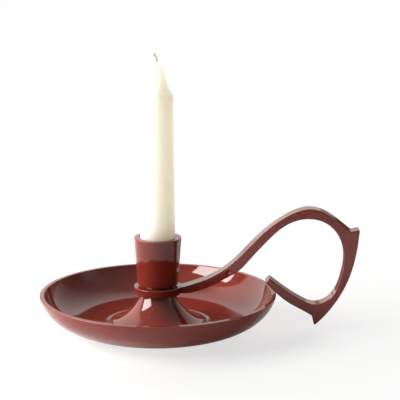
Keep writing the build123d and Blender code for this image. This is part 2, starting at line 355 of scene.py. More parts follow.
# Straight lines turned about Z.
def makeSocket(s):
    cupLow = shared["ringHigh"] + s["neckHeight"]
    corners = [
        (0, s["tapTop"]), (s["tapRadius"], s["tapTop"]), (s["tapRadius"], s["spigotLow"]),
        (s["spigotRadius"], s["spigotLow"]), (s["spigotRadius"], shared["ringHigh"]),
        (s["neckRadius"], shared["ringHigh"]), (s["neckRadius"], cupLow),
        (s["bottomRadius"], cupLow), (s["topRadius"], s["rimTop"]),
        (s["boreRadius"], s["rimTop"]), (s["boreRadius"], s["boreFloor"]), (0, s["boreFloor"]),
    ]
    lines = straightLines(corners)
    wall = len(lines) - 4
    lines[wall] = np.linspace(corners[wall], corners[wall + 1], s["wallPoints"])
    roundings = [0] * 6 + [s["underRounding"], s["rimRounding"], s["rimRounding"], 0, 0]
    outline, edges = joinLines(lines, roundings, closed=False)
    return turnedPiece("turnedSocket", outline, edges)


socket = makeSocket(turnedSocket)
print("socket", len(socket.data.polygons), "faces")


# Handle: ring, arm and open finger loop, one casting. The places of its outline are shares.
fingerLoop = {
    "width": 10.2 * mm,
    "edgeRounding": 0.6 * mm,
    "sharpAngle": 32,         # degrees
    "tipRounding": 0.8 * mm,
    "notchRounding": 1.3 * mm,
    "overhang": 51.9 * mm,
    "rise": 55.35 * mm,
    "ringRadius": 15.2 * mm,
    "ringDraft": 0.25 * mm,
    "ringRounding": 0.45 * mm,
    "ringUnderRounding": 0.6 * mm,
    "lipInside": 11.4 * mm,   # a lip under the ring stands round the foot's neck
    "lipDrop": 0.6 * mm,
    "rootReach": 12.0 * mm,
    "rootInset": 0.3 * mm,
    "rimGap": 0.6 * mm,
    "rimGapAngle": 48,        # degrees from level
    "dimpleRadius": 1.55 * mm,
    "dimpleDepth": 1.0 * mm,
    "dimple": (0.591, 0.195),
    "armTop": [(0.305, 0.044), (0.437, 0.118), (0.596, 0.271), (0.756, 0.503), (0.887, 0.699)],
    "loopTop": [(0.042, 1.871), (0.247, 1.973), (0.406, 2.000), (0.562, 1.963), (0.768, 1.835)],
    "topNotch": (0.892, 1.739),
    "thumbPoint": (1.000, 1.758),
    "loopBack": [(0.978, 1.570), (0.924, 1.318), (0.836, 1.094), (0.724, 0.787), (0.579, 0.373)],
    "lowerPoint": (0.463, 0.119),
    "lowerNotch": (0.433, 0.407),
    "barUnder": [(0.328, 0.543), (0.210, 0.688), (0.105, 0.838)],
    "barEndLow": (-0.139, 1.141),
    "barEndHigh": (-0.086, 1.192),
    "loopInside": [
        (0.105, 1.058), (0.315, 0.838), (0.462, 0.726), (0.599, 0.810), (0.721, 1.048),
        (0.790, 1.237), (0.817, 1.428), (0.785, 1.599), (0.689, 1.759), (0.540, 1.857),
        (0.377, 1.884), (0.186, 1.848), (0.005, 1.740),
    ],
    "armUnder": [
        (0.902, 0.565), (0.778, 0.363), (0.684, 0.215), (0.570, 0.111), (0.462, 0.023),
        (0.350, -0.043), (0.254, -0.078),
    ],
}


# Places on the arm: shares of the saucer's radius, and of the climb from ring to loop top.
def armPlaces(shares, h):
    reach, climb = np.array(shares, float).T
    loopTop = saucerDish["rimTop"] + h["rise"]
    height = shared["ringHigh"] + climb * (loopTop - shared["ringHigh"])
    return np.stack([reach * saucerDish["radius"], height], axis=-1)


# Places on the loop: shares of its overhang past the rim, and heights where 0 is the table, 1
# the rim and 2 the loop's top.
def loopPlaces(shares, h):
    reach, level = np.array(shares, float).T
    height = np.minimum(level, 1) * saucerDish["rimTop"] + np.maximum(level - 1, 0) * h["rise"]
    return np.stack([saucerDish["radius"] + reach * h["overhang"], height], axis=-1)


# The arm and loop seen from the front, as one closed line with rounded corners.
def handleOutline(h):
    rootHigh = np.array([h["rootReach"], shared["ringHigh"] - h["rootInset"]])
    rootLow = np.array([h["rootReach"], shared["ringLow"] + h["rootInset"]])
    topNotch, thumbPoint, lowerPoint, lowerNotch, barEndLow, barEndHigh = loopPlaces([h[k] for k in (
        "topNotch", "thumbPoint", "lowerPoint", "lowerNotch", "barEndLow", "barEndHigh",
    )], h)
    gapTurn = math.radians(h["rimGapAngle"])
    rimCorner = np.array([saucerDish["radius"], saucerDish["rimTop"]])
    barOverRim = rimCorner + h["rimGap"] * np.array([math.cos(gapTurn), math.sin(gapTurn)])
    over = loopPlaces(h["loopTop"], h)
    inside = loopPlaces(h["loopInside"], h)
    armTop = armPlaces(h["armTop"], h)
    lines = [
        splineLine([rootHigh, *armTop, *over, topNotch], (1, 0), topNotch - over[-1]),
        straightLine(topNotch, thumbPoint),
        splineLine([thumbPoint, *loopPlaces(h["loopBack"], h), lowerPoint]),
        straightLine(lowerPoint, lowerNotch),
        splineLine([lowerNotch, *loopPlaces(h["barUnder"], h), barOverRim, barEndLow]),
        straightLine(barEndLow, barEndHigh),
        splineLine([barEndHigh, *inside, *armPlaces(h["armUnder"], h), rootLow],
                   inside[0] - barEndHigh, (-1, 0)),
        straightLine(rootLow, rootHigh),
    ]
    tip, notch = h["tipRounding"], h["notchRounding"]
    return joinLines(lines, [notch, tip, tip, notch, tip, tip, tip, tip])[0]


# The outline carried across the width. At each step across, every point moves inwards
# along the outline's normal by the eased edge's inset there.
def makeBand(h):
    outline = handleOutline(h)
    ahead = unit(np.roll(outline, -1, axis=0) - outline)
    turn = unit(ahead + np.roll(ahead, 1, axis=0))
    inwards = np.stack([turn[:, 1], -turn[:, 0]], axis=1)
    half, easing, margin = h["width"] / 2, h["edgeRounding"], 0.04 * mm
    angle = np.linspace(0, np.pi / 2, 7)
    insets = np.concatenate([[easing + margin], easing * (1 - np.sin(angle)), [0]])
    places = np.concatenate([[-half], -half + easing * (1 - np.cos(angle)), [-half + easing + margin]])
    insets = np.concatenate([insets, insets[::-1]])
    places = np.concatenate([places, -places[::-1]])
    moved = outline[None] + insets[:, None, None] * inwards[None]
    across = np.broadcast_to(places[:, None], moved.shape[:2])
    points = np.stack([moved[..., 0], across, moved[..., 1]], axis=-1).reshape(-1, 3)
    return newMesh("handleBand", points, tubeFaces(len(places), len(outline)))


# The ring round the socket's spigot, its section turned about Z.
def makeRing(h):
    under = h["ringRadius"] - h["ringDraft"]
    lipLow = shared["ringLow"] - h["lipDrop"]
    corners = [
        (shared["spigotHole"], shared["ringLow"]), (h["lipInside"], shared["ringLow"]),
        (h["lipInside"], lipLow), (under, lipLow),
        (h["ringRadius"], shared["ringHigh"]), (shared["spigotHole"], shared["ringHigh"]),
    ]
    lines = straightLines(corners + corners[:1])
    outline, edges = joinLines(lines, [0, 0, h["ringUnderRounding"], h["ringRounding"], 0, 0])
    return turnedPiece("handleRing", outline, edges)


# A half circle turned about Z and moved to its place.
def makeBall(radius, place, steps=48):
    angle = np.linspace(-np.pi / 2, np.pi / 2, steps)
    arc = np.stack([radius * np.cos(angle), radius * np.sin(angle)], axis=1)
    ball = turnedPiece("dimpleBall", arc[::-1], np.zeros(steps), turns=2 * steps)
    ball.data.transform(Matrix.Translation(place))
    return ball


# Joins the other solid to the piece or cuts it away, and leaves one mesh.
def combine(piece, other, operation):
    modifier = piece.modifiers.new("combine", "BOOLEAN")
    modifier.operation = operation
    modifier.solver = "EXACT"
    modifier.object = other
    bpy.context.view_layer.update()
    shape = bpy.data.meshes.new_from_object(piece.evaluated_get(bpy.context.evaluated_depsgraph_get()))
    piece.modifiers.clear()
    piece.data = shape
    bpy.data.objects.remove(other)


# Band and ring in one mesh, less a ball's cap on each side: radius = (r^2 + d^2) / 2d.
def makeHandle(h):
    handle = makeBand(h)
    handle.name = handle.data.name = "fingerLoop"
    combine(handle, makeRing(h), "UNION")
    ballRadius = (h["dimpleRadius"] ** 2 + h["dimpleDepth"] ** 2) / (2 * h["dimpleDepth"])
    reach, height = armPlaces([h["dimple"]], h)[0]
    for side in (-1, 1):
        middle = (reach, side * (h["width"] / 2 + ballRadius - h["dimpleDepth"]), height)
        combine(handle, makeBall(ballRadius, middle), "DIFFERENCE")
    mesh = handle.data
    mesh.name = "fingerLoop"
    mesh.shade_smooth()
    mesh.set_sharp_from_angle(angle=math.radians(h["sharpAngle"]))
    lean = readVectors(mesh.vertex_normals, "vector")[:, 1] ** 2
    beyondRing = readVectors(mesh.vertices, "co")[:, 0] > h["ringRadius"]
    edges = np.where(beyondRing, 1 - np.abs(2 * lean - 1), 0)   # 1 half way round to the side
    attribute = mesh.attributes.get("edgeShare") or mesh.attributes.new("edgeShare", "FLOAT", "POINT")
    attribute.data.foreach_set("value", edges)
    return handle


handle = makeHandle(fingerLoop)
print("handle", len(handle.data.polygons), "faces")


# Candle and wick
waxCandle = {
    "low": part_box("candle")[0].z,
    "high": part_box("candle")[1].z,
    "radius": 11.0 * mm,
    "footBevel": 0.8 * mm,
    "socketTop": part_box("candle_socket")[1].z,
    "shoulderRadius": 10.09 * mm,
    "shoulderDrop": 20.9 * mm,
    "tipRadius": 4.06 * mm,
    "tipDrop": 3.3 * mm,
    "flankSag": 0.85 * mm,
    "domeShare": (0.6, 0.22),     # a point of the dome: of the tip's radius and of its drop
    "shoulderRounding": 0.9 * mm,
    "tipRounding": 0.5 * mm,
    "sidePoints": 10,
    "taperPoints": 60,
}

cottonWick = {
    "radius": 0.65 * mm,
    "straightTop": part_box("candle")[1].z + 0.4 * mm,
    "lean": 2.2 * mm,
    "rise": 5.0 * mm,
    "strands": 3,
    "strandDepth": 0.1,     # how far the creases go in, as a share of the radius
    "creasePower": 0.6,     # less than 1 makes them narrow
    "twistPitch": 3.2 * mm,
    "sides": 36,
    "rings": 150,
    "bendRings": 40,
    "sharpAngle": 60,       # degrees
}


# The arc of the circle through three points.
def arcThrough(start, middle, end, count=24):
    a, b, c = (np.array(p, float) for p in (start, middle, end))
    system = 2 * np.array([b - a, c - a])
    centre = np.linalg.solve(system, np.array([b @ b - a @ a, c @ c - a @ a]))
    angles = np.unwrap(np.arctan2(*(np.array([a, b, c]) - centre).T[::-1]))
    turn = np.linspace(angles[0], angles[2], count)
    return centre + np.hypot(*(a - centre)) * np.stack([np.cos(turn), np.sin(turn)], axis=1)


# The wax closes round the wick, which stands in it.
def makeCandle(c):
    shoulder = np.array([c["shoulderRadius"], c["high"] - c["shoulderDrop"]])
    tipEdge = np.array([c["tipRadius"], c["high"] - c["tipDrop"]])
    along = unit(tipEdge - shoulder)
    sagged = (shoulder + tipEdge) / 2 + np.array([-along[1], along[0]]) * c["flankSag"]
    outwards, down = c["domeShare"]
    domeMiddle = (outwards * c["tipRadius"], c["high"] - down * c["tipDrop"])
    bevelTop, atSocket = (c["radius"], c["low"] + c["footBevel"]), (c["radius"], c["socketTop"])
    lines = [
        *straightLines([(0, c["low"]), (c["radius"] - c["footBevel"], c["low"]), bevelTop]),
        np.linspace(bevelTop, atSocket, c["sidePoints"]),
        np.linspace(atSocket, shoulder, c["taperPoints"]),
        arcThrough(shoulder, sagged, tipEdge),
        arcThrough(tipEdge, domeMiddle, (0, c["high"])),
    ]
    roundings = [0, 0, 0, c["shoulderRounding"], c["tipRounding"], 0]
    outline, edges = joinLines(lines, roundings, closed=False, steps=9)
    return turnedPiece("waxCandle", outline, edges, turns=128)


# A round section carried along the wick's line: straight up, then one arc that leans over.
# The radius falls into a crease between twisted strands as they climb.
def makeWick(w):
    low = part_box("wick")[0].z
    sides, rings = w["sides"], w["rings"]
    radius = (w["lean"] ** 2 + w["rise"] ** 2) / (2 * w["lean"])
    bend = math.asin(w["rise"] / radius)
    straight = np.linspace(low, w["straightTop"], rings)
    turn = np.linspace(0, bend, w["bendRings"])[1:]
    line = np.concatenate([
        np.stack([np.zeros(rings), straight], axis=1),
        np.stack([radius * (np.cos(turn) - 1), w["straightTop"] + radius * np.sin(turn)], axis=1),
    ])
    lean = np.concatenate([np.zeros(rings), turn])
    along = np.concatenate([straight - low, w["straightTop"] - low + radius * turn])
    angle = np.linspace(0, 2 * np.pi, sides, endpoint=False)
    twist = angle[None] - 2 * np.pi * along[:, None] / w["twistPitch"]
    crease = np.abs(np.sin(twist * w["strands"] / 2)) ** w["creasePower"]
    section = w["radius"] * (1 - w["strandDepth"] * (1 - crease))
    outwards = section * np.cos(angle)
    points = np.stack([
        line[:, :1] + outwards * np.cos(lean)[:, None],
        section * np.sin(angle),
        line[:, 1:] + outwards * np.sin(lean)[:, None],
    ], axis=-1).reshape(-1, 3)
    faces = tubeFaces(len(line), sides)
    return newMesh("cottonWick", points, faces, np.zeros(len(points)), w["sharpAngle"])


candle = makeCandle(waxCandle)
wick = makeWick(cottonWick)
print("candle", len(candle.data.polygons), "faces, wick", len(wick.data.polygons), "faces")


# Felt pad in the saucer's underside
feltPad = {
    "radius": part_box("felt_disc")[1].x,
    "low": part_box("felt_disc")[0].z,
    "high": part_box("felt_disc")[1].z,
    "edgeRounding": 0.35 * mm,
    "fuzz": 0.05 * mm,      # how far the nap's tufts stand in
    "fuzzRise": 0.2 * mm,   # up to this height over the underside
    "waves": ((3.1, 1.3, 2.3), (2.7, 1.7, 1.9)),   # along x and y: turning, bend and its turning
}


# A disc with rounded edges. The nap's tufts in its underside are crossed waves, each
# sin(turning u + bend sin(bending v)).
def makeFelt(f):
    radii = np.linspace(0, f["radius"], 150)
    under = np.stack([radii, np.full(len(radii), f["low"])], axis=1)
    side = straightLine((f["radius"], f["low"]), (f["radius"], f["high"]))
    top = straightLine((f["radius"], f["high"]), (0, f["high"]))
    rounding = f["edgeRounding"]
    outline, edges = joinLines([under, side, top], [rounding, rounding, 0], closed=False)
    felt = turnedPiece("feltPad", outline, edges, turns=240)
    places = readVectors(felt.data.vertices, "co")
    x, y = places[:, :2].T / mm
    waves = 1
    for (turning, bend, bending), this, other in zip(f["waves"], (x, y), (y, x)):
        waves = waves * np.sin(turning * this + bend * np.sin(bending * other))
    below = places[:, 2] < f["low"] + f["fuzzRise"]
    places[:, 2] += np.where(below, f["fuzz"] * (0.5 + 0.5 * waves), 0)
    felt.data.vertices.foreach_set("co", places.ravel())
    felt.data.update()
    return felt


felt = makeFelt(feltPad)
print("felt", len(felt.data.polygons), "faces")


# A node with its settings and inputs. An input is a value, a socket to link from, or a node
# whose first output is linked.
def addNode(tree, kind, inputs=None, **settings):
    node = tree.nodes.new(kind)
    for key, value in settings.items():
        setattr(node, key, value)
    for key, value in (inputs or {}).items():
        value = value.outputs[0] if isinstance(value, bpy.types.Node) else value
        if isinstance(value, bpy.types.NodeSocket):
            tree.links.new(value, node.inputs[key])
        else:
            node.inputs[key].default_value = value
    return node


# A node in the tree that its inputs come from.
def linkedNode(kind, inputs, **settings):
    trees = [value.id_data for value in inputs.values() if isinstance(value, bpy.types.bpy_struct)]
    return addNode(trees[0], kind, inputs, **settings)


# A material, and the place of each point on its piece.
def newMaterial(name):
    material = bpy.data.materials.new(name)
    material.use_nodes = True
    tree = material.node_tree
    tree.nodes.clear()
    return material, addNode(tree, "ShaderNodeTexCoord").outputs["Object"]


# Ends a material with its surface, whose height is a bump, and puts it on the pieces.
def finishMaterial(material, pieces, colour, roughness, height, bumpHeight, others):
    bump = linkedNode("ShaderNodeBump", {"Height": height, "Distance": bumpHeight})
    shader = linkedNode("ShaderNodeBsdfPrincipled", {
        "Base Color": colour, "Roughness": roughness, "Normal": bump, **others,
    })
    linkedNode("ShaderNodeOutputMaterial", {"Surface": shader})
    for piece in pieces:
        piece.data.materials.clear()
        piece.data.materials.append(material)


def calc(operation, a, b=0.0):
    return linkedNode("ShaderNodeMath", {0: a, 1: b}, operation=operation).outputs[0]


def axes(vector):
    return list(linkedNode("ShaderNodeSeparateXYZ", {0: vector}).outputs)


def lengthOf(vector):
    return linkedNode("ShaderNodeVectorMath", {0: vector}, operation="LENGTH").outputs["Value"]


def product(first, *others):
    for other in others:
        first = calc("MULTIPLY", first, other)
    return first


# first + share x second
def addShare(first, second, share):
    return calc("ADD", first, calc("MULTIPLY", second, share))


# From one pair of values to another, held at the ends.
def ranged(value, low, high, toLow=0.0, toHigh=1.0, smooth=True):
    node = linkedNode("ShaderNodeMapRange", {
        "Value": value, "From Min": low, "From Max": high, "To Min": toLow, "To Max": toHigh,
    }, interpolation_type="SMOOTHSTEP" if smooth else "LINEAR")
    return node.outputs["Result"]


# 0 up to the start, the peak from full to end, and 0 again from gone on.
def humped(value, start, full, end, gone, peak=1.0):
    return product(ranged(value, start, full), ranged(value, end, gone, peak, 0.0))


# 1 between the two values, with sharp ends.
def between(value, low, high):
    return product(calc("GREATER_THAN", value, low), calc("LESS_THAN", value, high))


def mixValue(factor, a, b):
    return linkedNode("ShaderNodeMix", {0: factor, 2: a, 3: b}, data_type="FLOAT").outputs[0]


def mixShader(factor, a, b):
    return linkedNode("ShaderNodeMixShader", {0: factor, 1: a, 2: b})


def mixColour(factor, a, b):
    return linkedNode("ShaderNodeMix", {0: factor, 6: a, 7: b}, data_type="RGBA").outputs[2]


def noise(where, scale, detail, roughness, distortion=0.0):
    return linkedNode("ShaderNodeTexNoise", {
        "Vector": where, "Scale": scale, "Detail": detail, "Roughness": roughness,
        "Distortion": distortion,
    }).outputs[0]


# A shader node group with its sockets. Inputs are names with values, outputs are names.
def newGroup(name, inputs, outputs):
    group = bpy.data.node_groups.new(name, "ShaderNodeTree")
    newSocket = group.interface.new_socket
    for key, value in inputs.items():
        kind = "NodeSocketVector" if isinstance(value, tuple) else "NodeSocketFloat"
        newSocket(name=key, in_out="INPUT", socket_type=kind).default_value = value
    for key in outputs:
        newSocket(name=key, in_out="OUTPUT", socket_type="NodeSocketFloat")
    entry, leave = group.nodes.new("NodeGroupInput"), group.nodes.new("NodeGroupOutput")
    return group, entry.outputs, leave.inputs


def useGroup(group, inputs):
    return linkedNode("ShaderNodeGroup", inputs, node_tree=group).outputs


# Patterns of the enamel. A noise has a scale in turns per metre, detail, roughness and, if
# any, distortion. A range goes from none to full.
enamelPattern = {
    "peel": (1 / (2.4 * mm), 1.5, 0.45),
    "slowWaves": (0.22 / (2.4 * mm), 1.0, 0.4),
    "slowHeight": 1.2,       # in peel heights
    "clouds": (38.0, 3.0, 0.55, 0.4),
    "cloudRange": (0.32, 0.68),
    "edges": (160.0, 2.0, 0.5),
    "edgeRange": (0.3, 0.62),
    "edgeBroken": 0.15,      # how much of the thin paint and painted highlight on edges is broken up
    "wipeStretch": (60.0, 60.0, 420.0),
    "wipes": (1.0, 3.0, 0.6, 0.3),
    "wipeRange": (0.45, 0.75),
}


# Sprayed enamel: orange peel and slow waves as a height, clouds, thin paint with a painted highlight on
# edges, and wipe marks.
def makeEnamelGroup(p=enamelPattern):
    tree, entry, leave = newGroup("sprayedEnamel", {
        "Where": (0, 0, 0), "Edge": 0.0, "Peel depth": 1.0, "Seed": 0.0,
    }, ["Height", "Cloud", "ThinPaintHighlight", "Wipe"])
    shift = linkedNode("ShaderNodeCombineXYZ", {0: entry["Seed"]})
    where = linkedNode("ShaderNodeVectorMath", {0: entry["Where"], 1: shift}, operation="ADD")
    slow = noise(where, *p["slowWaves"])
    height = addShare(noise(where, *p["peel"]), slow, p["slowHeight"])
    tree.links.new(product(height, entry["Peel depth"]), leave["Height"])
    cloud = noise(where, *p["clouds"])
    tree.links.new(ranged(cloud, *p["cloudRange"]), leave["Cloud"])
    broken = ranged(noise(where, *p["edges"]), *p["edgeRange"])
    whole = addShare(1.0 - p["edgeBroken"], broken, p["edgeBroken"])
    tree.links.new(product(entry["Edge"], whole), leave["ThinPaintHighlight"])
    stretch = linkedNode("ShaderNodeMapping", {"Vector": where, "Scale": p["wipeStretch"]})
    wipe = noise(stretch, *p["wipes"])
    tree.links.new(ranged(wipe, *p["wipeRange"]), leave["Wipe"])
    return tree


# A round spot about a place: 1 up to the core's share of its size, 0 outside its size.
def makeSpotGroup(core=0.45):
    tree, entry, leave = newGroup("roundSpot", {
        "Where": (0, 0, 0), "Place": (0, 0, 0), "Size": 0.5 * mm,
    }, ["Mask"])
    ends = {0: entry["Where"], 1: entry["Place"]}
    offset = linkedNode("ShaderNodeVectorMath", ends, operation="SUBTRACT")
    ratio = calc("DIVIDE", lengthOf(offset), entry["Size"])
    tree.links.new(ranged(ratio, 1.0, core), leave["Mask"])
    return tree


enamelGroup = makeEnamelGroup()
spotGroup = makeSpotGroup()

enamelFinish = {
    "colour": (0.195, 0.0155, 0.0052, 1),
    "cloudColour": (0.170, 0.0130, 0.0048, 1),
    # lighter red on eased edges: thin paint there, and a painted highlight where they catch the light
    "thinPaintHighlightColour": (0.33, 0.030, 0.010, 1),
    "pitColour": (0.012, 0.003, 0.003, 1),
    "speckColour": (0.62, 0.30, 0.17, 1),
    "edgeShare": 0.75,       # how much of the edge's colour the thin paint and painted highlight take
    "speckShare": 0.35,
    "pitDepth": 2.0,         # in peel heights
    "speckHeight": 1.0,
    "roughness": 0.055,
    "pitRoughness": 0.5,
    "wipeRoughness": 0.02,
    "ior": 1.5,
    "haze": 0.4,             # a wide lobe over the sharp one
    "hazeRoughness": 0.9,
    "bumpHeight": 0.016 * mm,
}

# Pits (dark, sunk) and specks (light, raised) seen in the enamel: place and size in mm
enamelSpots = {
    "saucerDish": {
        "pits": [((6.3, -73.4, 19.5), 0.42), ((16.9, -71.5, 18.9), 0.42), ((56.6, 38.9, 16.4), 0.5),
                 ((-60.4, 22.0, 13.0), 0.45), ((22.0, 63.0, 18.0), 0.45)],
        "specks": [((-31.0, -64.5, 15.5), 0.5), ((-23.9, -64.0, 11.6), 0.55), ((47.0, -20.0, 6.2), 0.4)],
    },
    "trumpetFoot": {
        "pits": [((7.2, 16.0, 13.0), 0.4)],
        "specks": [((-3.1, -14.1, 16.2), 0.5), ((-5.6, -14.8, 14.5), 0.38), ((-5.0, -16.9, 12.5), 0.45),
                   ((-14.0, 9.0, 12.6), 0.4)],
    },
    "turnedSocket": {
        "pits": [((0.2, -14.4, 54.5), 0.7), ((-9.6, 10.4, 43.0), 0.4)],
        "specks": [((-7.4, -11.9, 46.7), 0.45), ((3.3, -13.7, 47.8), 0.4)],
    },
    "fingerLoop": {
        "pits": [((117.5, -5.1, 44.3), 0.55), ((68.7, -2.5, 31.9), 0.65), ((84.0, 5.1, 66.5), 0.4)],
        "specks": [((96.3, -5.1, 74.0), 0.4), ((121.0, 5.1, 52.0), 0.4)],
    },
}


# The largest of the spots' masks.
def spotMask(where, spots):
    total = 0.0
    for place, size in spots:
        mask = useGroup(spotGroup, {
            "Where": where, "Place": [v * mm for v in place], "Size": size * mm,
        })["Mask"]
        total = calc("MAXIMUM", total, mask)
    return total


# Red enamel with the piece's own pits and specks.
def makeEnamel(piece, seed, peelDepth, f=enamelFinish):
    material, where = newMaterial(piece.name + "Enamel")
    edge = addNode(material.node_tree, "ShaderNodeAttribute", attribute_name="edgeShare").outputs["Fac"]
    surface = useGroup(enamelGroup, {
        "Where": where, "Edge": edge, "Peel depth": peelDepth, "Seed": seed,
    })
    spots = enamelSpots[piece.name]
    pits, specks = spotMask(where, spots["pits"]), spotMask(where, spots["specks"])
    # Eased edges turn a lighter red: partly thin paint, partly a painted highlight.
    thinPaintHighlight = product(surface["ThinPaintHighlight"], f["edgeShare"])
    colour = mixColour(surface["Cloud"], f["colour"], f["cloudColour"])
    colour = mixColour(thinPaintHighlight, colour, f["thinPaintHighlightColour"])
    colour = mixColour(pits, colour, f["pitColour"])
    colour = mixColour(product(specks, f["speckShare"]), colour, f["speckColour"])
    roughness = addShare(f["roughness"], surface["Wipe"], f["wipeRoughness"])
    roughness = addShare(roughness, pits, f["pitRoughness"])
    height = addShare(surface["Height"], pits, -f["pitDepth"])
    height = addShare(height, specks, f["speckHeight"])
    finishMaterial(material, [piece], colour, roughness, height, f["bumpHeight"], {
        "IOR": f["ior"], "Coat Weight": f["haze"], "Coat Roughness": f["hazeRoughness"],
    })


# Each piece, where it lies in the noise and how deep its orange peel is
enamelled = ((saucer, 0.0, 0.05), (foot, 0.31, 0.12), (socket, 0.57, 1.7), (handle, 0.83, 0.12))
for piece, seed, peelDepth in enamelled:
    makeEnamel(piece, seed, peelDepth)
print("enamel done")


# Wax, cotton, felt and steel
waxFinish = {
    "colour": (0.865, 0.865, 0.755, 1),
    "bloomColour": (0.885, 0.885, 0.785, 1),
    "clouds": (55.0, 3.0, 0.5),
    "cloudRange": (0.3, 0.7),
    "streakStretch": (700.0, 700.0, 25.0),
    "streaks": (1.0, 2.0, 0.5),
    "grain": (1500.0, 2.0, 0.5),
    "grainShare": 0.4,
    "bumpHeight": 0.012 * mm,
    "roughness": 0.42,
    "bloomRoughness": 0.12,
    "ior": 1.44,
    "bleed": (1.0, 0.88, 0.66),
    "depth": 45.0 * mm,
}


# Pale wax that light enters, with a cloudy bloom and drawn streaks.
def makeWax(piece, f=waxFinish):
    material, where = newMaterial("candleWax")
    cloud = ranged(noise(where, *f["clouds"]), *f["cloudRange"])
    stretch = linkedNode("ShaderNodeMapping", {"Vector": where, "Scale": f["streakStretch"]})
    streak = noise(stretch, *f["streaks"])
    grain = noise(where, *f["grain"])
    colour = mixColour(cloud, f["colour"], f["bloomColour"])
    roughness = addShare(f["roughness"], cloud, f["bloomRoughness"])
    height = addShare(streak, grain, f["grainShare"])
    finishMaterial(material, [piece], colour, roughness, height, f["bumpHeight"], {
        "IOR": f["ior"], "Subsurface Weight": 1.0,
        "Subsurface Radius": f["bleed"], "Subsurface Scale": f["depth"],
    })


cottonFinish = {
    "colour": (0.46, 0.43, 0.37, 1),
    "creaseColour": (0.40, 0.36, 0.30, 1),
    "tipColour": (0.46, 0.42, 0.36, 1),
    "tipReach": 1.2 * mm,
    "mixShare": 0.5,
    "fibres": (5200.0, 4.0, 0.7),
    "fibreRange": (0.3, 0.7),
    "blotches": (900.0, 2.0, 0.5),
    "blotchRange": (0.35, 0.65),
    "bumpHeight": 0.02 * mm,
    "roughness": (0.8, 0.95),
    "bleed": (1.0, 0.9, 0.75),
    "depth": 3.5 * mm,
}


# Waxed cotton: blotches and fine fibres, with another colour towards the tip.
def makeCotton(piece, f=cottonFinish):
    material, where = newMaterial("wickCotton")
    fibre = noise(where, *f["fibres"])
    blotch = ranged(noise(where, *f["blotches"]), *f["blotchRange"])
    colour = mixColour(product(blotch, f["mixShare"]), f["colour"], f["creaseColour"])
    tip = ranged(axes(where)[2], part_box("wick")[1].z - f["tipReach"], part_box("wick")[1].z)
    colour = mixColour(product(tip, f["mixShare"]), colour, f["tipColour"])
    roughness = ranged(fibre, *f["fibreRange"], *f["roughness"])
    finishMaterial(material, [piece], colour, roughness, fibre, f["bumpHeight"], {
        "Subsurface Weight": 1.0, "Subsurface Radius": f["bleed"], "Subsurface Scale": f["depth"],
    })


feltFinish = {
    "colour": (0.012, 0.010, 0.010, 1),
    "tuftColour": (0.045, 0.038, 0.036, 1),
    "nap": (900.0, 5.0, 0.75, 1.2),
    "napRange": (0.35, 0.7),
    "fibres": (3800.0, 3.0, 0.7, 2.0),
    "fibreRange": (0.3, 0.7),
    "fibreShare": 0.5,
    "bumpHeight": 0.25 * mm,
    "roughness": (0.88, 1.0),
    "sheen": 0.5,
    "sheenRoughness": 0.6,
}


# Dark felt: a matted nap with fibres on it.
def makeFeltCloth(piece, f=feltFinish):
    material, where = newMaterial("baseFelt")
    nap = noise(where, *f["nap"])
    fibre = noise(where, *f["fibres"])
    colour = mixColour(ranged(nap, *f["napRange"]), f["colour"], f["tuftColour"])
    height = addShare(nap, fibre, f["fibreShare"])
    roughness = ranged(fibre, *f["fibreRange"], *f["roughness"])
    finishMaterial(material, [piece], colour, roughness, height, f["bumpHeight"], {
        "Sheen Weight": f["sheen"], "Sheen Roughness": f["sheenRoughness"],
    })


steelFinish = {
    "colour": (0.58, 0.57, 0.55, 1),
    "darkColour": (0.42, 0.41, 0.40, 1),
    "stains": (600.0, 3.0, 0.6),
    "stainRange": (0.4, 0.7),
    "stainShare": 0.6,
    "rings": (9000.0, 2.0, 0.6),
    "bumpHeight": 0.01 * mm,
    "roughness": 0.28,
    "ringRoughness": 0.15,
}


# Turned steel: rings about the screw's axis in the height and the roughness.
def makeSteel(pieces, f=steelFinish):
    material, where = newMaterial("screwSteel")
    x, y, z = axes(where)
    radius = lengthOf(linkedNode("ShaderNodeCombineXYZ", {0: x, 1: y}))
    turned = linkedNode("ShaderNodeCombineXYZ", {0: radius, 1: z})
    rings = noise(turned, *f["rings"])
    stain = ranged(noise(where, *f["stains"]), *f["stainRange"])
    colour = mixColour(product(stain, f["stainShare"]), f["colour"], f["darkColour"])
    roughness = addShare(f["roughness"], rings, f["ringRoughness"])
    finishMaterial(material, pieces, colour, roughness, rings, f["bumpHeight"], {"Metallic": 1.0})


makeWax(candle)
makeCotton(wick)
makeFeltCloth(felt)
makeSteel([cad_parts[name] for name in ("clamp_screw", "flat_washer", "spring_washer")])
print("wax, cotton, felt and steel done")


# Studio: a pale table with a painted glow near the object, a soft window at the left, a weak lamp behind
# and a lit wall
studio = {
    "lampDistance": 1.1,
    "lampColour": (1.0, 0.985, 0.965),
    "roomColour": (1.0, 0.975, 0.92, 1),
    "fill": 0.02,               # brightness of the room for matt surfaces
}

# Each lamp: turn from straight behind the object, left negative, and rise above level, in degrees,
# width and height in metres, watts, and whether it lights matt surfaces or shows in gloss
studioLamps = {
    "windowGlare": (-112, 30, 0.83, 0.53, 21.5, "gloss"),
    "windowLight": (-94, 28, 1.10, 0.60, 27.0, "matt"),
    "backLight": (20, 20, 1.30, 0.50, 15.0, "matt"),
}


# A unit vector from the turn and rise: (sin turn cos rise, cos turn cos rise, sin rise)
def direction(turn, rise):
    a, e = math.radians(turn), math.radians(rise)
    return Vector((math.sin(a) * math.cos(e), math.cos(a) * math.cos(e), math.sin(e)))


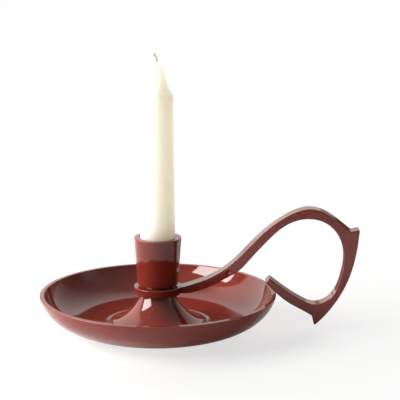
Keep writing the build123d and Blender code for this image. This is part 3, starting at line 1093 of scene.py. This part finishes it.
# Area lamps that face the origin.
def makeLamps(s):
    for name, (turn, rise, width, height, watts, share) in studioLamps.items():
        lamp = bpy.data.lights.new(name, "AREA")
        lamp.shape = "RECTANGLE"
        lamp.size, lamp.size_y = width, height
        lamp.energy = watts
        lamp.color = s["lampColour"]
        piece = bpy.data.objects.new(name, lamp)
        towards = direction(turn, rise)
        piece.location = towards * s["lampDistance"]
        piece.rotation_euler = towards.to_track_quat("Z", "Y").to_euler()
        piece.visible_camera = False
        piece.visible_diffuse = share == "matt"
        piece.visible_glossy = share == "gloss"
        bpy.context.scene.collection.objects.link(piece)


# How bright the studio is round the object at the height of the table: turn in degrees from
# straight behind, left negative, and brightness, where 1 is white
studioRound = [
    (-180, 0.22), (-142, 0.24), (-92, 0.30), (-78, 0.30), (-74, 2.40), (-60, 2.35), (-45, 2.00),
    (-30, 1.55), (-15, 1.30), (0, 1.15), (15, 1.00), (30, 0.88), (45, 0.70), (58, 0.58), (63, 0.25),
    (88, 0.25), (91, 0.75), (108, 0.75), (112, 0.36), (128, 0.36), (150, 0.24), (180, 0.22),
]

# How the wall changes with height, its turns and rises in degrees
studioWall = {
    "highTurns": (-76.0, 61.0),     # behind the object it stands higher
    "fadeStart": (18.0, 50.0),      # rises where it fades, elsewhere and behind the object
    "fadeEnd": (50.0, 66.0),
    "ceiling": 0.48,
    "footTurns": (-40.0, 61.0),     # here its foot is dim
    "footStep": (8.0, 12.0),        # the dim foot gets higher between these turns
    "footTop": (3.0, 10.0),
    "footFade": 4.0,
    "footDim": 0.6,
    "seatTurns": (-5.2, -4.6, 2.5, 4.0),      # a dim patch that the saucer's seat reflects
    "seatRises": (16.1, 16.5, 17.6, 19.0),
    "seatDim": 0.85,
}


# White to the camera. Gloss shows the wall, and matt surfaces get an even weak fill.
def makeStudioWorld(s, w=studioWall):
    world = bpy.data.worlds.new("studioWorld")
    bpy.context.scene.world = world
    world.use_nodes = True
    tree = world.node_tree
    tree.nodes.clear()
    towards = addNode(tree, "ShaderNodeTexCoord").outputs["Generated"]
    x, y, z = axes(towards)
    turn = product(calc("ARCTAN2", x, y), 180 / math.pi)
    rise = product(calc("ARCSINE", z), 180 / math.pi)
    brightest = max(value for _, value in studioRound)
    ramp = linkedNode("ShaderNodeValToRGB", {0: ranged(turn, -180.0, 180.0, smooth=False)})
    stops = ramp.color_ramp.elements
    while len(stops) < len(studioRound):
        stops.new(0.5)
    for stop, (angle, value) in zip(stops, studioRound):
        stop.position = (angle + 180) / 360
        stop.color = (value / brightest,) * 3 + (1,)
    low = product(ramp, brightest)
    behind = between(turn, *w["highTurns"])
    fadeStart = ranged(behind, 0.0, 1.0, *w["fadeStart"], smooth=False)
    fadeEnd = ranged(behind, 0.0, 1.0, *w["fadeEnd"], smooth=False)
    above = ranged(rise, fadeStart, fadeEnd)
    footTop = ranged(turn, *w["footStep"], *w["footTop"])
    overFoot = calc("SUBTRACT", rise, footTop)
    footShade = ranged(overFoot, -w["footFade"], 0.0, w["footDim"], 0.0)
    footShade = product(between(turn, *w["footTurns"]), footShade)
    seatShade = humped(rise, *w["seatRises"], w["seatDim"])
    seatShade = product(seatShade, humped(turn, *w["seatTurns"]))
    for shade in (footShade, seatShade):
        low = product(low, calc("SUBTRACT", 1.0, shade))
    room = mixValue(above, low, w["ceiling"])
    paths = addNode(tree, "ShaderNodeLightPath").outputs
    seen = calc("MAXIMUM", paths["Is Glossy Ray"], paths["Is Transmission Ray"])
    level = mixValue(seen, s["fill"], room)
    studioShader = addNode(tree, "ShaderNodeBackground", {"Color": s["roomColour"], "Strength": level})
    whiteShader = addNode(tree, "ShaderNodeBackground", {"Color": (1, 1, 1, 1)})
    both = mixShader(paths["Is Camera Ray"], studioShader, whiteShader)
    linkedNode("ShaderNodeOutputWorld", {"Surface": both})


# Places on the table in metres, x to the right and y away. In a pair a change starts and ends.
tableTop = {
    "reach": 6.0,               # half its side
    "colour": (0.80, 0.80, 0.80, 1),
    "paintedGlow": 0.33,               # painted light: near the object the table glows, lighting it and showing in its gloss
    "paintedGlowColour": (1.0, 0.90, 0.84, 1),
    "paintedGlowEnd": (0.279, 0.341),
    "shadeX": (-0.045, 0.04),   # in front on the right the painted glow is weaker, a painted shadow
    "shadeY": (-0.17, -0.12),
    "shade": 0.75,
    "paintedShadowColour": (0.10, 0.10, 0.10, 1),   # a painted shadow behind the object on the right, shown only in gloss
    "backX": (-0.02, 0.03),
    "backY": (0.10, 0.16),
    "backLean": 0.6,            # its right end moves out by this much for each step away
    "backEnd": (0.0, 0.05),
    "whiteReach": (0.05, 0.34),
    "whiteNear": 0.66,          # how white the camera sees it under the object
}


# A flat table. The camera sees it white far from the object, and near it the shadow stays. Near the
# object it glows with painted light, and gloss sees a painted shadow behind it.
def makeTable(t):
    side = t["reach"]
    points = np.array([(-side, -side, 0), (side, -side, 0), (side, side, 0), (-side, side, 0)])
    table = newMesh("studioTable", points, [[0, 1, 2, 3]])
    material, where = newMaterial("paleTable")
    tree = material.node_tree
    away = lengthOf(where)
    paths = addNode(tree, "ShaderNodeLightPath").outputs
    plain = addNode(tree, "ShaderNodeBsdfDiffuse", {"Color": t["colour"]})
    x, y = axes(where)[:2]
    shaded = ranged(x, *t["shadeX"], 0.0, t["shade"])
    shaded = product(shaded, ranged(y, *t["shadeY"]))
    # Painted light: the table glows near the object, weaker where the painted shadow lies.
    strength = ranged(away, *t["paintedGlowEnd"], t["paintedGlow"], 0.0)
    strength = product(strength, calc("SUBTRACT", 1.0, shaded))
    paintedGlow = addNode(tree, "ShaderNodeEmission", {"Color": t["paintedGlowColour"], "Strength": strength})
    plain = linkedNode("ShaderNodeAddShader", {0: plain, 1: paintedGlow})
    # Painted shadow: in gloss the table behind the object on the right is dark.
    dark = addNode(tree, "ShaderNodeBsdfDiffuse", {"Color": t["paintedShadowColour"]})
    beside = calc("SUBTRACT", x, product(y, t["backLean"]))
    back = product(
        ranged(y, *t["backY"]), ranged(x, *t["backX"]),
        ranged(beside, *t["backEnd"], 1.0, 0.0), paths["Is Glossy Ray"],
    )
    plain = mixShader(back, plain, dark)
    white = addNode(tree, "ShaderNodeEmission", {"Color": (1, 1, 1, 1)})
    lift = ranged(away, *t["whiteReach"], t["whiteNear"], 1.0)
    lifted = mixShader(product(lift, paths["Is Camera Ray"]), plain, white)
    linkedNode("ShaderNodeOutputMaterial", {"Surface": lifted})
    table.data.materials.append(material)


makeLamps(studio)
makeStudioWorld(studio)
makeTable(tableTop)
print("studio ready")


# Which CAD node each piece stands for, the body it rides on and its material slot
pieceTable = [
    (saucer, "holder", "saucer", "red_lacquer"),
    (foot, "holder", "foot", "red_lacquer"),
    (handle, "holder", "handle", "red_lacquer"),
    (socket, "holder", "candle_socket", "red_lacquer"),
    (felt, "holder", "felt_disc", "base_felt"),
    (candle, "candle_body", "candle", "candle_wax"),
    (wick, "candle_body", "wick", "wick_cotton"),
]
for piece, body, node, slot in pieceTable:
    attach(piece, body)
    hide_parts(node)
